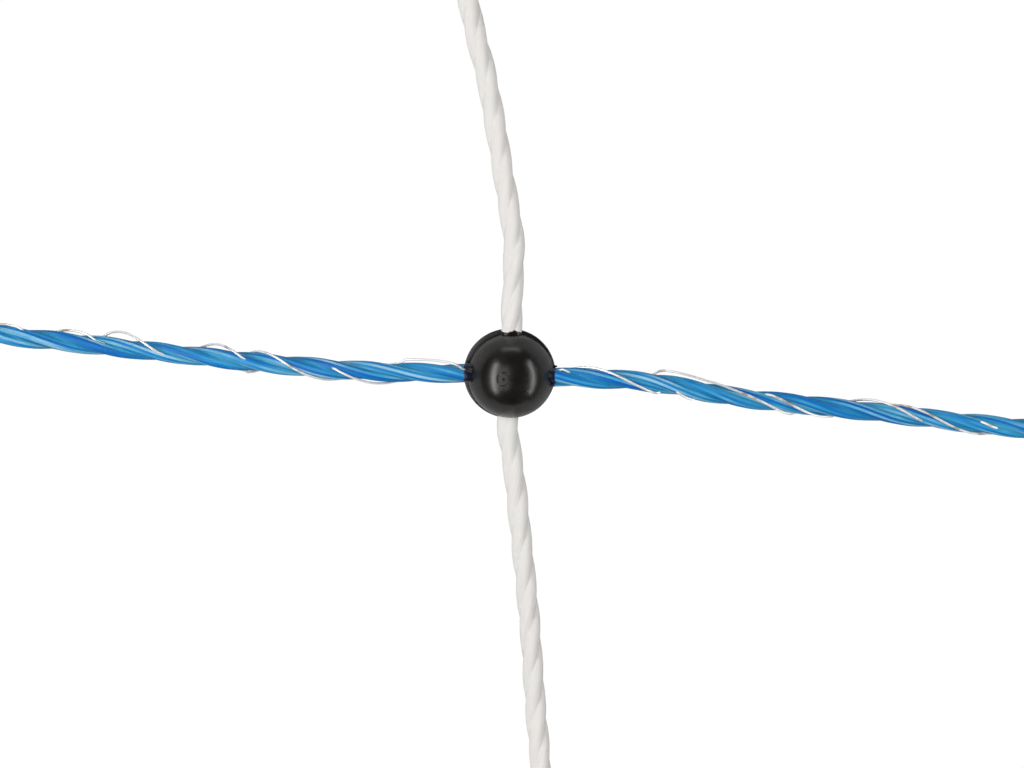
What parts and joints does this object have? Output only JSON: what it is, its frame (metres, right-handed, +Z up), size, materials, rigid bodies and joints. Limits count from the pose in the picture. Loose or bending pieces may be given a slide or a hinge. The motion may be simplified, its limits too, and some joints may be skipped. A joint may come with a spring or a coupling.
{
  "type": "electric sheep netting",
  "caption": "Piece of electric fence netting lying flat: blue twisted polywires with laid-in conductor wires cross white twines, joined at each crossing by a moulded ball knot.",
  "frame": {"origin": "centre of the flat underside of the middle knot, on the surface that the netting lies on", "axes": "+X along the polywires to the right, +Y along the twines towards the netting's upper edge, +Z up out of the netting, towards the side that the picture shows"},
  "size_m": [0.3383, 0.2461, 0.0112],
  "materials": {
    "knot": "satin black moulded polyolefin",
    "polywire": "blue twisted polyethylene filaments, slightly glossy",
    "conductor": "bright drawn stainless wire",
    "twine": "off-white twisted polyester filaments, fuzzy and matt"
  },
  "bodies": {
    "root": {"knot_lower_left": "knot", "knot_lower_centre": "knot", "knot_lower_right": "knot", "knot_middle_left": "knot", "knot_middle_centre": "knot", "knot_middle_right": "knot", "knot_upper_left": "knot", "knot_upper_centre": "knot", "knot_upper_right": "knot", "polywire_lower": "polywire", "polywire_middle": "polywire", "polywire_upper": "polywire", "conductor_lower_1": "conductor", "conductor_lower_2": "conductor", "conductor_lower_3": "conductor", "conductor_middle_1": "conductor", "conductor_middle_2": "conductor", "conductor_middle_3": "conductor", "conductor_upper_1": "conductor", "conductor_upper_2": "conductor", "conductor_upper_3": "conductor", "twine_left": "twine", "twine_centre": "twine", "twine_right": "twine"}
  },
  "joints": []
}
